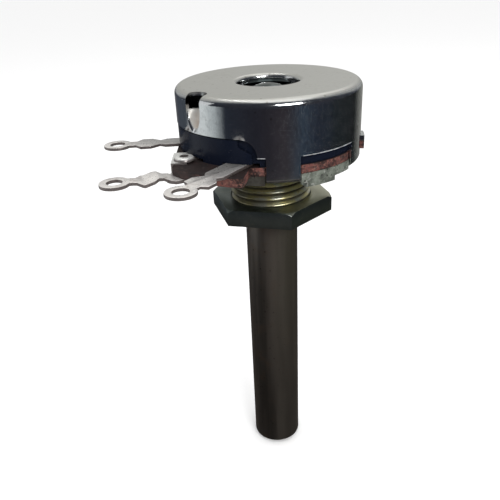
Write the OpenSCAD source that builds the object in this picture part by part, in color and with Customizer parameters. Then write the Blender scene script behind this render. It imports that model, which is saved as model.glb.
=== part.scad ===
// Rotary potentiometer with a round spindle, a threaded bush and three solder lugs.
// Z runs along the spindle: the free end points down, the steel cover is on top.
// The origin is on the spindle's axis, at the face that seats on the panel.
// The lugs leave the body towards -Y. Angles named "bearing" are counted from -Y
// towards +X.

/* [Spindle] */
// Diameter of the spindle
spindle_d = 6.35; // [5.5:0.05:6.6]
// Length of the spindle below the mounting face
spindle_reach = 42.5; // [15:0.5:70]
// Chamfer on the free end
spindle_chamfer = 0.5; // [0.2:0.1:1]
// Radial running clearance between the spindle and its bush
spindle_clearance = 0.04; // [0.02:0.01:0.09]
// Diameter of the stem that carries the rotor
stem_d = 4.6; // [4:0.1:5]
// Diameter of the riveted head on the stem
stem_head_d = 5.6; // [5.3:0.1:5.8]
// Width of the groove for the retaining clip
groove_w = 0.5; // [0.4:0.05:0.6]
// Depth of that groove
groove_depth = 0.6; // [0.4:0.05:0.8]
// Width of the relief at the mouth of the bush, where a knob's seat ends
relief_w = 0.6; // [0.55:0.05:0.8]
// Depth of that relief
relief_depth = 0.2; // [0.16:0.02:0.3]

/* [Bush and nut] */
// Outside diameter of the bush, over the thread
bush_d = 9.525; // [8.5:0.05:9.9]
// Length of the bush below the mounting face
bush_reach = 6.8; // [6:0.1:12]
// Chamfer at the mouth of the bush
bush_chamfer = 0.35; // [0.1:0.05:0.6]
// Diameter of the collar that holds the bush in the plate
collar_d = 11.8; // [11:0.1:13]
// Thickness of that collar
collar_t = 0.5; // [0.3:0.05:0.6]
// Size of the nut across its flats
nut_flats = 12.7; // [12:0.1:14]
// Thickness of the nut
nut_t = 1.95; // [1.5:0.05:3]
// Distance from the nut's lower face to the mouth of the bush
nut_setback = 0.3; // [0:0.05:1]
// Radial clearance between the nut and the bush
nut_clearance = 0.04; // [0.02:0.01:0.09]
// Turn of the nut about the bush, in degrees
nut_turn = 40; // [0:1:60]

/* [Front plate] */
// Diameter of the plate
plate_d = 20.3; // [19.8:0.1:20.6]
// Thickness of the plate
plate_t = 1; // [0.9:0.05:1.4]
// Depth of the pockets that take the cover's folded tabs
pocket_depth = 0.62; // [0.5:0.02:0.7]
// Width of the lip that keys into the panel
key_w = 3.6; // [2:0.1:4]
// How far that lip stands out of the mounting face
key_h = 0.5; // [0.3:0.1:2]
// Radial thickness of that lip
key_t = 1; // [0.6:0.1:1.5]
// Bearing of the lip
key_bearing = 84; // [80:1:98]

/* [Track board] */
// Thickness of the board
board_t = 0.9; // [0.7:0.05:1.4]
// Diameter of the round part of the board
board_d = 20.1; // [19.6:0.1:20.3]
// Radius of the tail that carries the lugs
tail_r = 13.4; // [12.8:0.1:14]
// Bearing where the tail starts
tail_from = -47; // [-50:1:-44]
// Bearing where the tail ends
tail_to = 41; // [36:1:44]
// Distance of the tail's straight edge from the axis
tail_flat = 10.4; // [10.35:0.05:11]
// Bearing of the straight edge's normal
tail_flat_bearing = -35; // [-38:1:-30]
// Radius of the ear on the board's edge
ear_r = 10.75; // [10.5:0.05:11]
// Bearing of the ear
ear_bearing = 139; // [136:1:146]
// Width of the ear, in degrees
ear_angle = 13; // [10:1:18]
// Diameter of the hole in the board's middle
board_hole_d = 9.8; // [9.4:0.1:10]
// Mean radius of the resistive track
track_r = 7; // [6.95:0.05:7.05]
// Width of the track
track_w = 1.2; // [0.8:0.1:1.4]
// Bearing where each end of the track lies
track_end = 41; // [40:1:46]
// Mean radius of the collector ring
collector_r = 5.55; // [5.5:0.05:5.6]
// Width of the collector ring
collector_w = 0.8; // [0.5:0.1:0.9]
// Thickness of the collector ring and its strap
collector_t = 0.2; // [0.1:0.05:0.3]
// Thickness of the printed track and its end pads
film_t = 0.06; // [0.04:0.01:0.1]

/* [Solder lugs] */
// Thickness of the lugs
lug_t = 0.35; // [0.3:0.05:0.5]
// Radius of a lug's eye
eye_r = 1.56; // [1.4:0.02:2]
// Diameter of the hole in the eye
eye_hole_d = 1.65; // [1.2:0.05:2]
// Distance from an eye's middle to the middle of the waisted stretch
eye_to_body = 3.3; // [3:0.1:4]
// The same distance on the near lug
near_eye_to_body = 2.75; // [2.6:0.05:4]
// Width of the waisted middle
lug_body_w = 3; // [2.4:0.1:3.2]
// Width of the narrow necks
lug_neck_w = 1.45; // [1.1:0.05:1.8]
// Width of the foot that lies on the board
lug_foot_w = 2.3; // [1.9:0.1:2.4]
// Distance of the outer lugs' eyelets from the axis
eyelet_r = 8.6; // [8.55:0.05:8.65]
// Bearing of the outer lugs' eyelets
eyelet_bearing = 35.5; // [35:0.5:36]
// Length of the near lug, from its eyelet to its eye
near_lug_l = 10.1; // [9:0.1:12]
// Bearing along which the near lug points
near_lug_lean = 19; // [10:1:30]
// Length of the far lug
far_lug_l = 8.8; // [8:0.1:11]
// Bearing along which the far lug points
far_lug_lean = -32; // [-40:1:-25]
// Distance of the middle lug's eyelet from the axis
middle_eyelet_r = 11.45; // [11.4:0.05:11.5]
// Bearing of the middle lug's eyelet
middle_eyelet_bearing = 1; // [0:0.5:2]
// Bearing at which the middle lug leaves the tail
middle_root_bearing = 7; // [4:0.5:9]
// Length of the middle lug, outside the board
middle_lug_l = 6.25; // [6:0.05:8]
// Bearing along which the middle lug points
middle_lug_lean = -20; // [-25:1:-10]
// How high the bend in the middle lug stands
middle_lug_rise = 0.55; // [0.2:0.05:0.8]
// Outside radius of an eyelet's shank
eyelet_shank_r = 0.7; // [0.6:0.05:0.75]
// Wall of an eyelet
eyelet_wall = 0.22; // [0.15:0.01:0.3]
// Radius of an eyelet's rolled head
eyelet_head_r = 1.1; // [1:0.05:1.15]
// Height of an eyelet's rolled head
eyelet_head_h = 0.4; // [0.25:0.05:0.45]
// Width of the strap that joins the collector to the middle lug
strap_w = 3.6; // [3:0.1:4]

/* [Cover] */
// Outside diameter of the cover
cover_d = 20.65; // [20.6:0.05:21]
// Height of the cover's top above the mounting face
cover_top = 8.66; // [8.5:0.05:9.5]
// Height of the cover's rim above the mounting face
cover_rim = 2.9; // [2.6:0.05:3.1]
// Thickness of the cover's sheet
sheet_t = 0.38; // [0.3:0.02:0.4]
// Outside radius of the cover's shoulder
shoulder_r = 0.85; // [0.7:0.05:1.2]
// Radius of the hole in the top, at its mouth
top_hole_r = 4; // [3.9:0.05:4.2]
// Radius of the rolled lip round that hole
lip_r = 0.5; // [0.45:0.05:0.6]
// Length of the straight flange below the lip
flange_l = 0.4; // [0.2:0.05:0.45]
// Bearing of the first pair of tabs, one each side
tab_bearing_a = 60; // [58:1:61]
// Bearing of the second pair of tabs
tab_bearing_b = 119; // [117:1:121]
// Width of a tab, in degrees
tab_angle = 19.5; // [16:0.5:20]
// How far a folded tab reaches in under the plate
tab_fold = 1.4; // [1:0.1:1.8]
// Height of the cut-out's upper edge
cutout_top = 4.8; // [4.6:0.05:5]
// Half width of the cut-out's straight edge, in degrees
cutout_half = 35.5; // [34:0.5:36]
// Radius of the cut-out's corners
cutout_corner = 1.8; // [1.6:0.05:1.85]
// Bearing of the stop that is pressed in from the wall
stop_bearing = 4; // [0:1:8]
// Width of the stop
stop_w = 2.4; // [2:0.1:2.6]
// Height of the stop's upper end
stop_top = 7; // [6.9:0.05:7.1]
// How far the stop's upper end is pressed in
stop_inset = 1.1; // [0.9:0.05:1.2]
// Radius to which the slot above the stop reaches in the top face
slot_inner_r = 8.6; // [8.4:0.1:9]

/* [Inner parts] */
// Wall of the insulating ring
ring_wall = 0.6; // [0.5:0.05:0.65]
// Height of the insulating ring
ring_h = 3.3; // [3:0.05:3.35]
// Radial clearance of the ring in the cover
ring_clearance = 0.08; // [0.05:0.01:0.1]
// Radius of the ring's boss that fills the cut-out
boss_r = 10.27; // [10.2:0.01:10.28]
// Bearing of each end of that boss
boss_end = 34.5; // [33:0.5:35]
// Bearing of the far side of the low block beyond each end
block_end = 42.5; // [41:0.5:43]
// Height of that block's sloping top, at its middle
block_top = 3.63; // [3.5:0.01:3.8]
// Turning range of the spindle, in degrees
travel = 290; // [240:5:300]
// Radius of the rotor's disc
rotor_r = 8.7; // [8.5:0.05:8.8]
// Height of the rotor's underside above the mounting face
rotor_z = 4; // [3.8:0.05:4.1]
// Thickness of the rotor's disc
rotor_t = 1; // [0.8:0.05:1.1]
// Radius of the stop nose on the rotor
nose_r = 9.55; // [9.4:0.05:9.7]
// Radius of the rotor's hub
hub_r = 3.9; // [3.6:0.1:4]
// Thickness of the wiper's leaf
leaf_t = 0.2; // [0.15:0.05:0.25]
// Width of a wiper's finger
finger_w = 0.8; // [0.6:0.05:0.9]
// Radius of a contact button
button_r = 0.32; // [0.25:0.01:0.35]
// Gap between a button and what it slides on
slide_gap = 0.02; // [0.01:0.01:0.04]
// Thickness of the thrust washer
washer_t = 0.25; // [0.2:0.05:0.3]
// Outside diameter of the thrust washer
washer_d = 9; // [8.6:0.1:9.1]
// Outside diameter of the retaining clip
clip_d = 8.6; // [8.2:0.1:8.8]
// Gap above and below the retaining clip
clip_gap = 0.03; // [0.02:0.01:0.05]

/* [Hidden] */
$fn = 96;

eps = 0.01;
step = 0.02;
cover_r = cover_d / 2;
cover_in = cover_r - sheet_t;
plate_top = plate_t;
board_top = plate_top + board_t;
stem_r = stem_d / 2;
head_r = stem_head_d / 2;
nut_low = nut_setback - bush_reach;
relief_low = -bush_reach - relief_w / 2;
tab_low = pocket_depth - sheet_t;
ring_r = cover_in - ring_clearance;
rotor_top = rotor_z + rotor_t;
ring_top = board_top + ring_h;
nose_low = ring_top + 0.1;
nose_top = stop_top - 0.1;
hub_top = cover_top - 1.45;
head_top = cover_top - 0.4;
shoulder_z = rotor_z - 0.8;
wiper_bearing = stop_bearing + 180;
stop_half = asin(stop_w / 2 / (cover_in - stop_inset));
stop_gap = 0.4;
nose_half = 180 - travel / 2 - stop_half - stop_gap;
leaf_z = rotor_z - leaf_t;
button_top = board_top + 0.7;
finger_from = -2.6;
leaf_end = -4.2;
strap_bearing = -3;
pad_inner = eyelet_bearing - 4;
washer_z = plate_top;
clip_z = washer_z + washer_t + clip_gap;

// Turns its children from the bearing 0, which is -Y, to the given bearing.
module bearing(a) {
    rotate([0, 0, a - 90]) children();
}

// A ring, or a part of one, between two radii and two heights.
module ring_part(r_in, r_out, low, high, from = 0, angle = 360) {
    rotate([0, 0, from - 90])
        rotate_extrude(angle = angle)
            translate([r_in, low]) square([r_out - r_in, high - low]);
}

// Outline of a lug along +X, from its foot at 0 to its eye at l.
module lug_outline(l, to_body = eye_to_body) {
    body_a = l - to_body + 0.6;
    body_b = l - to_body - 0.6;
    neck_a = (body_a + l - eye_r) / 2;
    neck_b = body_b - 0.95;
    foot = neck_b - 0.6;
    circle(r = lug_foot_w / 2);
    translate([l, 0]) circle(r = eye_r);
    polygon([
        [0, -lug_foot_w / 2], [foot, -lug_foot_w / 2], [neck_b, -lug_neck_w / 2],
        [body_b, -lug_body_w / 2], [body_a, -lug_body_w / 2], [neck_a, -lug_neck_w / 2],
        [l, -lug_neck_w / 2], [l, lug_neck_w / 2], [neck_a, lug_neck_w / 2],
        [body_a, lug_body_w / 2], [body_b, lug_body_w / 2], [neck_b, lug_neck_w / 2],
        [foot, lug_foot_w / 2], [0, lug_foot_w / 2]
    ]);
}

// A bent strip seen from the side: its lower face follows the points [x, z].
module strip_side(points, t, w) {
    upper = [for (i = [len(points) - 1 : -1 : 0]) points[i] + [0, t]];
    rotate([90, 0, 0])
        linear_extrude(w, center = true)
            polygon(concat(points, upper));
}

// A straight lug that lies on the board, with its foot at the eyelet.
module outer_lug(eyelet_at, lean, l, to_body) {
    color("lightgray")
        bearing(eyelet_at)
            translate([eyelet_r, 0, board_top])
                rotate([0, 0, lean - eyelet_at])
                    difference() {
                        linear_extrude(lug_t) lug_outline(l, to_body);
                        translate([l, 0, -1]) cylinder(r = eye_hole_d / 2, h = lug_t + 2);
                        translate([0, 0, -1]) cylinder(r = eyelet_shank_r, h = lug_t + 2);
                    }
}

// A hollow eyelet whose rolled heads clamp what lies between two heights.
module eyelet(low, high) {
    color("silver")
        rotate_extrude()
            difference() {
                union() {
                    translate([0, low - eyelet_head_h]) square([eyelet_shank_r, high - low + 2 * eyelet_head_h]);
                    translate([0, high]) head_section();
                    translate([0, low]) mirror([0, 1]) head_section();
                }
                translate([-1, low - eyelet_head_h - 1])
                    square([1 + eyelet_shank_r - eyelet_wall, high - low + 2 * eyelet_head_h + 2]);
            }
}

// Half section of a rolled head that rests on the height 0.
module head_section() {
    flat = eyelet_head_r - eyelet_head_h;
    square([flat, eyelet_head_h]);
    translate([flat, 0])
        intersection() {
            circle(r = eyelet_head_h);
            square(eyelet_head_h);
        }
}

module cover() {
    color("gainsboro")
        union() {
            difference() {
                union() {
                    cover_cup();
                    stop_wall();
                }
                rim_gaps();
                cutout();
                stop_slot();
                intersection() {
                    stop_cylinder(stop_w / 2);
                    translate([0, 0, cutout_top]) cylinder(r = cover_r + 5, h = stop_top - cutout_top);
                }
            }
            ear_fold();
        }
}

// The drawn cup: folded foot, wall, rounded shoulder, flat top and the rolled lip of its hole.
module cover_cup() {
    inner_r = shoulder_r - sheet_t;
    rotate_extrude() {
        translate([cover_in, tab_low + sheet_t])
            square([sheet_t, cover_top - shoulder_r - tab_low - sheet_t]);
        translate([cover_in, tab_low + sheet_t])
            intersection() {
                circle(r = sheet_t);
                translate([0, -sheet_t]) square(sheet_t);
            }
        translate([cover_r - tab_fold, tab_low]) square([tab_fold - sheet_t, sheet_t]);
        translate([cover_r - shoulder_r, cover_top - shoulder_r])
            intersection() {
                difference() {
                    circle(r = shoulder_r);
                    circle(r = inner_r);
                }
                square(shoulder_r);
            }
        translate([top_hole_r, cover_top - sheet_t])
            square([cover_r - shoulder_r - top_hole_r, sheet_t]);
        translate([top_hole_r, cover_top - lip_r])
            difference() {
                circle(r = lip_r);
                circle(r = lip_r - sheet_t);
                translate([0, -lip_r - 1]) square([lip_r + 1, 2 * lip_r + 2]);
                translate([-lip_r - 1, -lip_r - 1]) square([lip_r + 2, lip_r + 1]);
            }
        translate([top_hole_r - lip_r, cover_top - lip_r - flange_l]) square([sheet_t, flange_l]);
    }
}

// What is cut from the wall between the tabs, up to the rim.
module rim_gaps() {
    half = tab_angle / 2;
    rim_gap(half - tab_bearing_a, tab_bearing_a - half, cover_rim);
    for (from = [-tab_bearing_b, tab_bearing_a])
        rim_gap(from + half, from + tab_bearing_b - tab_bearing_a - half, cover_rim);
    rim_gap(tab_bearing_b + half, ear_bearing - ear_angle / 2, cover_rim);
    rim_gap(ear_bearing - ear_angle / 2 - 1, ear_bearing + ear_angle / 2 + 1, board_top);
    rim_gap(ear_bearing + ear_angle / 2, 360 - tab_bearing_b - half, cover_rim);
}

// One gap, between two bearings and up to the given height.
module rim_gap(from, to, top) {
    ring_part(cover_r - tab_fold - 1, cover_r + 1, tab_low - 1, top, from, to - from);
}

// The opening in the wall that lets the lugs out, with its rounded corners.
module cutout() {
    depth = 4;
    ring_part(cover_in - depth / 2, cover_r + 1, cover_rim - 1, cutout_top,
        -cutout_half, 2 * cutout_half);
    for (side = [-1, 1])
        bearing(side * cutout_half)
            translate([cover_in - 1, 0, cutout_top - cutout_corner])
                rotate([0, 90, 0]) cylinder(r = cutout_corner, h = depth);
}

// The slot through the shoulder, above the stop.
module stop_slot() {
    bearing(stop_bearing) {
        translate([slot_inner_r + stop_w / 2, -stop_w / 2, stop_top])
            cube([3, stop_w, cover_top - stop_top + 1]);
        translate([slot_inner_r + stop_w / 2, 0, stop_top])
            cylinder(d = stop_w, h = cover_top - stop_top + 1);
    }
}

// A leaning cylinder whose outermost line meets the wall at the stop's foot.
module stop_cylinder(r) {
    foot = cutout_top + 0.4;
    lean = atan(stop_inset / (stop_top - foot));
    bearing(stop_bearing)
        translate([cover_r + stop_w / 2, 0, foot])
            rotate([0, -lean, 0]) cylinder(r = r, h = 8, center = true);
}

// The wall behind the stop's dent, on the inside of the cover.
module stop_wall() {
    gap = 0.05;
    half = 20;
    intersection() {
        stop_cylinder(stop_w / 2 + sheet_t);
        ring_part(cover_in - stop_inset - 1, cover_in + sheet_t / 2, ring_top + gap, stop_top,
            stop_bearing - half, 2 * half);
    }
}

// The short tab's outward fold, which lies on the board's ear.
module ear_fold() {
    bend = 0.15;
    side = 1;
    ring_part(cover_r - 0.1, ear_r, board_top + slide_gap, board_top + sheet_t + bend,
        ear_bearing - ear_angle / 2 + side, ear_angle - 2 * side);
}

module front_plate() {
    room = 0.1;
    color("darkgray")
        difference() {
            union() {
                cylinder(d = plate_d, h = plate_t);
                intersection() {
                    ring_part(plate_d / 2 - key_t, plate_d / 2, -key_h, eps, 0, 360);
                    bearing(key_bearing)
                        translate([0, -key_w / 2, -key_h - 1]) cube([plate_d, key_w, key_h + 2]);
                }
            }
            translate([0, 0, -1]) cylinder(d = bush_d, h = plate_t + 2);
            translate([0, 0, plate_t - collar_t]) cylinder(d = collar_d, h = collar_t + 1);
            for (side = [-1, 1])
                for (at = [tab_bearing_a, tab_bearing_b])
                    tab_pocket(side * at);
            for (side = [-1, 1])
                bearing(side * eyelet_bearing)
                    translate([eyelet_r, 0, plate_t - eyelet_head_h - room])
                        cylinder(r = eyelet_head_r + 2 * room, h = eyelet_head_h + 1);
        }
}

// The pocket in the plate's edge for one folded tab.
module tab_pocket(at) {
    margin = 1;
    ring_part(cover_r - tab_fold - 0.1, plate_d / 2 + 1, -key_h - 1, pocket_depth,
        at - tab_angle / 2 - margin, tab_angle + 2 * margin);
    ring_part(cover_in - 0.02, plate_d / 2 + 1, -key_h - 1, plate_t + 1,
        at - tab_angle / 2 - margin, tab_angle + 2 * margin);
}

module threaded_bush() {
    bore_r = spindle_d / 2 + spindle_clearance;
    color("darkkhaki")
        difference() {
            union() {
                translate([0, 0, bush_chamfer - bush_reach])
                    cylinder(d = bush_d, h = bush_reach - bush_chamfer + plate_t);
                translate([0, 0, -bush_reach])
                    cylinder(d1 = bush_d - 2 * bush_chamfer, d2 = bush_d, h = bush_chamfer);
                translate([0, 0, plate_t - collar_t]) cylinder(d = collar_d, h = collar_t);
            }
            translate([0, 0, -bush_reach - 1]) cylinder(r = bore_r, h = bush_reach + plate_t + 2);
        }
}

module hex_nut() {
    corner_r = nut_flats / 2 / cos(30);
    bevel = 0.25;
    color("dimgray")
        translate([0, 0, nut_low])
            difference() {
                intersection() {
                    rotate([0, 0, nut_turn]) cylinder(r = corner_r, h = nut_t, $fn = 6);
                    union() {
                        cylinder(r = corner_r + 1, h = nut_t - bevel);
                        translate([0, 0, nut_t - bevel])
                            cylinder(r1 = corner_r + 0.05, r2 = corner_r - 2 * bevel, h = bevel);
                    }
                }
                translate([0, 0, -1]) cylinder(r = bush_d / 2 + nut_clearance, h = nut_t + 2);
            }
}

module spindle() {
    r = spindle_d / 2;
    color("rosybrown")
        difference() {
            union() {
                translate([0, 0, spindle_chamfer - spindle_reach])
                    cylinder(r = r, h = spindle_reach - spindle_chamfer + shoulder_z);
                translate([0, 0, -spindle_reach])
                    cylinder(r1 = r - spindle_chamfer, r2 = r, h = spindle_chamfer);
                cylinder(r = stem_r, h = hub_top);
                translate([0, 0, hub_top]) riveted_head();
            }
            ring_part(r - groove_depth, r + 1, clip_z - clip_gap, clip_z + groove_w + clip_gap);
            ring_part(r - relief_depth, r + 1, relief_low, relief_low + relief_w);
        }
}

// The domed head that holds the rotor on the stem.
module riveted_head() {
    dome_h = head_top - hub_top;
    dome_r = (head_r * head_r + dome_h * dome_h) / (2 * dome_h);
    intersection() {
        translate([0, 0, dome_h - dome_r]) sphere(r = dome_r);
        cylinder(r = head_r, h = dome_h + 1);
    }
}

module thrust_washer() {
    color("tan")
        ring_part(spindle_d / 2 + spindle_clearance, washer_d / 2, washer_z, washer_z + washer_t);
}

// The open ring that sits in the spindle's groove.
module retaining_clip() {
    gap = 2.4;
    color("slategray")
        difference() {
            ring_part(spindle_d / 2 - groove_depth + clip_gap, clip_d / 2, clip_z, clip_z + groove_w);
            bearing(wiper_bearing)
                translate([0, -gap / 2, clip_z - 1]) cube([clip_d, gap, groove_w + 2]);
        }
}

module track_board() {
    color("sienna")
        difference() {
            translate([0, 0, plate_top])
                linear_extrude(board_t) board_outline();
            translate([0, 0, plate_top - 1]) cylinder(d = board_hole_d, h = board_t + 2);
            for (side = [-1, 1]) {
                board_notch(side * tab_bearing_a);
                board_notch(side * tab_bearing_b);
                bearing(side * eyelet_bearing)
                    translate([eyelet_r, 0, plate_top - 1])
                        cylinder(r = eyelet_shank_r, h = board_t + 2);
            }
            bearing(middle_eyelet_bearing)
                translate([middle_eyelet_r, 0, plate_top - 1])
                    cylinder(r = eyelet_shank_r, h = board_t + 2);
        }
}

// A disc with the tail for the lugs and the ear that the short tab sits on.
module board_outline() {
    reach = 2 * tail_r;
    circle(d = board_d);
    intersection() {
        circle(r = tail_r);
        polygon([
            [0, 0],
            reach * [sin(tail_from), -cos(tail_from)],
            reach * [0, -1],
            reach * [sin(tail_to), -cos(tail_to)]
        ]);
        rotate(tail_flat_bearing - 90)
            translate([-reach, -reach]) square([reach + tail_flat, 2 * reach]);
    }
    intersection() {
        circle(r = ear_r);
        polygon([
            [0, 0],
            reach * [sin(ear_bearing - ear_angle / 2), -cos(ear_bearing - ear_angle / 2)],
            reach * [sin(ear_bearing + ear_angle / 2), -cos(ear_bearing + ear_angle / 2)]
        ]);
    }
}

// The notch in the board's edge that a tab runs through.
module board_notch(at) {
    margin = 1;
    ring_part(cover_in - 0.05, tail_r + 1, plate_top - 1, board_top + 1,
        at - tab_angle / 2 - margin, tab_angle + 2 * margin);
}

module resistive_track() {
    color("black")
        ring_part(track_r - track_w / 2, track_r + track_w / 2, board_top, board_top + film_t,
            track_end, 360 - 2 * track_end);
}

// The silver print that joins an end of the track to the foot of its lug.
module end_pad(from) {
    color("lightsteelblue")
        ring_part(track_r - track_w / 2, eyelet_r - lug_foot_w / 2 - 0.03, board_top,
            board_top + film_t, from, track_end - pad_inner);
}

module end_pad_near() {
    end_pad(pad_inner);
}

module end_pad_far() {
    end_pad(-track_end);
}

// The ring, its strip along the board and the strap that folds over the tail's straight edge.
module collector_ring() {
    hole_at = middle_eyelet_bearing - tail_flat_bearing;
    strap_near = middle_eyelet_r * sin(hole_at) + eyelet_head_r;
    strap_in = cover_in - 1;
    skirt = board_t - 0.1;
    color("whitesmoke")
        union() {
            translate([0, 0, board_top])
                linear_extrude(collector_t)
                    difference() {
                        union() {
                            circle(r = collector_r + collector_w / 2);
                            rotate(strap_bearing - 90)
                                translate([collector_r, -strap_w / 4])
                                    square([cover_r - collector_r, strap_w / 2]);
                            rotate(tail_flat_bearing - 90)
                                translate([strap_in, strap_near - strap_w])
                                    square([tail_flat + collector_t - strap_in, strap_w]);
                        }
                        circle(r = collector_r - collector_w / 2);
                        rotate(middle_eyelet_bearing - 90)
                            translate([middle_eyelet_r, 0]) circle(r = eyelet_shank_r);
                    }
            bearing(tail_flat_bearing)
                translate([tail_flat, strap_near - strap_w, board_top - skirt])
                    cube([collector_t, strap_w, skirt + collector_t]);
        }
}

// The moulded ring between the board and the cover. A boss fills the cover's cut-out, with
// a low block beyond each end, and windows let the lugs and the strap out.
module insulating_ring() {
    lug_window = lug_t + 0.05;
    eyelet_window = lug_t + eyelet_head_h + 0.15;
    strap_window = collector_t + 0.1;
    eyelet_out = eyelet_r + eyelet_head_r + 0.1;
    half = 11;
    strap_from = -14;
    strap_to = 10;
    color([0.08, 0.09, 0.12])
        difference() {
            rotate_extrude() ring_section();
            ring_part(ring_r - step, cover_r + 1, board_top - 1, ring_top + 1,
                block_end, 360 - 2 * block_end);
            for (side = [0, 1]) mirror([side, 0, 0]) above_block();
            for (side = [-1, 1]) {
                ring_part(ring_r - 2, eyelet_out, board_top - 1, board_top + eyelet_window,
                    side * eyelet_bearing - half + 1, 2 * half - 2);
                ring_part(ring_r - 2, cover_r + 1, board_top - 1, board_top + lug_window,
                    side * eyelet_bearing - half, 2 * half);
            }
            ring_part(ring_r - 2, cover_r + 1, board_top - 1, board_top + strap_window,
                strap_from, strap_to - strap_from);
        }
}

// Section of the ring with its boss.
module ring_section() {
    gap = 0.12;
    translate([ring_r - ring_wall, board_top]) square([ring_wall, ring_h]);
    translate([ring_r - ring_wall, board_top])
        square([boss_r - ring_r + ring_wall, cutout_top - gap - board_top]);
}

// What is cut away over the low block at one end, down to its sloping top.
module above_block() {
    slope = 27;
    intersection() {
        ring_part(ring_r + step, cover_r + 1, board_top + 1, ring_top + 1,
            boss_end, block_end - boss_end + 1);
        bearing((boss_end + block_end) / 2)
            translate([0, 0, block_top])
                rotate([-slope, 0, 0]) translate([0, -cover_r, 0]) cube([2 * cover_r, 2 * cover_r, 8]);
    }
}

module lug_near() {
    outer_lug(eyelet_bearing, near_lug_lean, near_lug_l, near_eye_to_body);
}

module lug_far() {
    outer_lug(-eyelet_bearing, far_lug_lean, far_lug_l, eye_to_body);
}

// The lug under the tail: its foot at the eyelet, a leg to the tail's edge, and the bent lug.
module lug_middle() {
    foot_r = eyelet_head_r;
    eyelet_at = middle_eyelet_r * [sin(middle_eyelet_bearing), -cos(middle_eyelet_bearing)];
    root = tail_r * [sin(middle_root_bearing), -cos(middle_root_bearing)];
    leg = root - eyelet_at;
    color("lightgray")
        translate([0, 0, plate_top - lug_t])
            difference() {
                union() {
                    translate(eyelet_at) cylinder(r = foot_r, h = lug_t);
                    translate(root) cylinder(r = foot_r, h = lug_t);
                    translate(eyelet_at)
                        rotate(atan2(leg[1], leg[0]))
                            translate([0, -foot_r, 0]) cube([norm(leg), 2 * foot_r, lug_t]);
                    translate(root) rotate(middle_lug_lean - 90) bent_lug(middle_lug_l);
                }
                translate(eyelet_at) translate([0, 0, -1]) cylinder(r = eyelet_shank_r, h = lug_t + 2);
                translate(root) rotate(middle_lug_lean - 90)
                    translate([middle_lug_l, 0, -1]) cylinder(d = eye_hole_d, h = lug_t + 4);
            }
}

// A lug along +X that rises to a crest and falls again before its eye.
module bent_lug(l) {
    eye_level = middle_lug_rise * 0.6;
    eye_start = l - eye_r - 0.1;
    crest = eye_start * 0.42;
    intersection() {
        translate([0, 0, -1]) linear_extrude(4) lug_outline(l);
        strip_side([
            [-lug_foot_w, 0], [0.3, 0], [crest, middle_lug_rise], [crest + 1.4, eye_level / 2],
            [eye_start, eye_level], [l + eye_r + 1, eye_level]
        ], lug_t, 2 * lug_body_w);
    }
}

module eyelet_near() {
    bearing(eyelet_bearing) translate([eyelet_r, 0, 0]) eyelet(plate_top, board_top + lug_t);
}

module eyelet_far() {
    bearing(-eyelet_bearing) translate([eyelet_r, 0, 0]) eyelet(plate_top, board_top + lug_t);
}

module eyelet_middle() {
    bearing(middle_eyelet_bearing)
        translate([middle_eyelet_r, 0, 0]) eyelet(plate_top - lug_t, board_top + collector_t);
}

// The moulded carrier: hub, disc, stop nose and the two pips that hold the wiper.
module rotor() {
    color([0.12, 0.12, 0.13])
        difference() {
            union() {
                translate([0, 0, shoulder_z]) cylinder(r = hub_r, h = hub_top - shoulder_z);
                translate([0, 0, rotor_z]) cylinder(r = rotor_r, h = rotor_t);
                rotate([0, 0, wiper_bearing - nose_half - 90])
                    rotate_extrude(angle = 2 * nose_half) nose_section();
                wiper_pips(leaf_t + 0.15);
            }
            translate([0, 0, shoulder_z - 1]) cylinder(r = stem_r, h = hub_top - shoulder_z + 2);
        }
}

// Half section of the stop nose: an arm on the disc's edge that steps out above the ring.
module nose_section() {
    arm = rotor_r - 0.1;
    arm_w = 1.2;
    sunk = 0.3;
    overlap = 0.1;
    translate([arm - arm_w, rotor_top - sunk]) square([arm_w, nose_top - rotor_top + sunk]);
    translate([arm - overlap, nose_low]) square([nose_r - arm + overlap, nose_top - nose_low]);
}

// The pips stand down from the rotor's disc, through the wiper's leaf.
module wiper_pips(h) {
    bearing(wiper_bearing)
        for (x = [collector_r, track_r - 0.2])
            translate([x, (finger_from + leaf_end) / 2, rotor_z - h]) cylinder(r = 0.3, h = h + eps);
}

// The leaf under the rotor, with one finger for the track and one for the collector.
module wiper_spring() {
    leaf_in = hub_r + 0.35;
    leaf_out = track_r + finger_w / 2;
    color("peru")
        difference() {
            bearing(wiper_bearing) {
                translate([leaf_in, leaf_end, leaf_z])
                    cube([leaf_out - leaf_in, finger_from - leaf_end, leaf_t]);
                for (r = [collector_r, track_r])
                    translate([r, 0, 0]) rotate(90) finger();
            }
            wiper_pips(leaf_t + 1);
        }
}

// A finger along +X that drops from the leaf to the top of its button.
module finger() {
    strip_side([
        [finger_from - 0.4, leaf_z], [finger_from, leaf_z], [-0.45, button_top], [0.45, button_top]
    ], leaf_t, finger_w);
}

// A contact button between what it slides on and its finger.
module button(r, low) {
    bearing(wiper_bearing)
        translate([r, 0, low + slide_gap]) cylinder(r = button_r, h = button_top - low - slide_gap);
}

module track_button() {
    color("dimgray") button(track_r, board_top + film_t);
}

module collector_button() {
    color("goldenrod") button(collector_r, board_top + collector_t);
}

cover();
front_plate();
threaded_bush();
hex_nut();
spindle();
thrust_washer();
retaining_clip();
track_board();
resistive_track();
end_pad_near();
end_pad_far();
collector_ring();
insulating_ring();
lug_near();
lug_middle();
lug_far();
eyelet_near();
eyelet_middle();
eyelet_far();
rotor();
wiper_spring();
track_button();
collector_button();
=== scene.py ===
import math

import bpy
from bpy.props import (
    FloatProperty,
    FloatVectorProperty,
    IntProperty,
    PointerProperty,
)
from mathutils import Matrix, Vector


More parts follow.
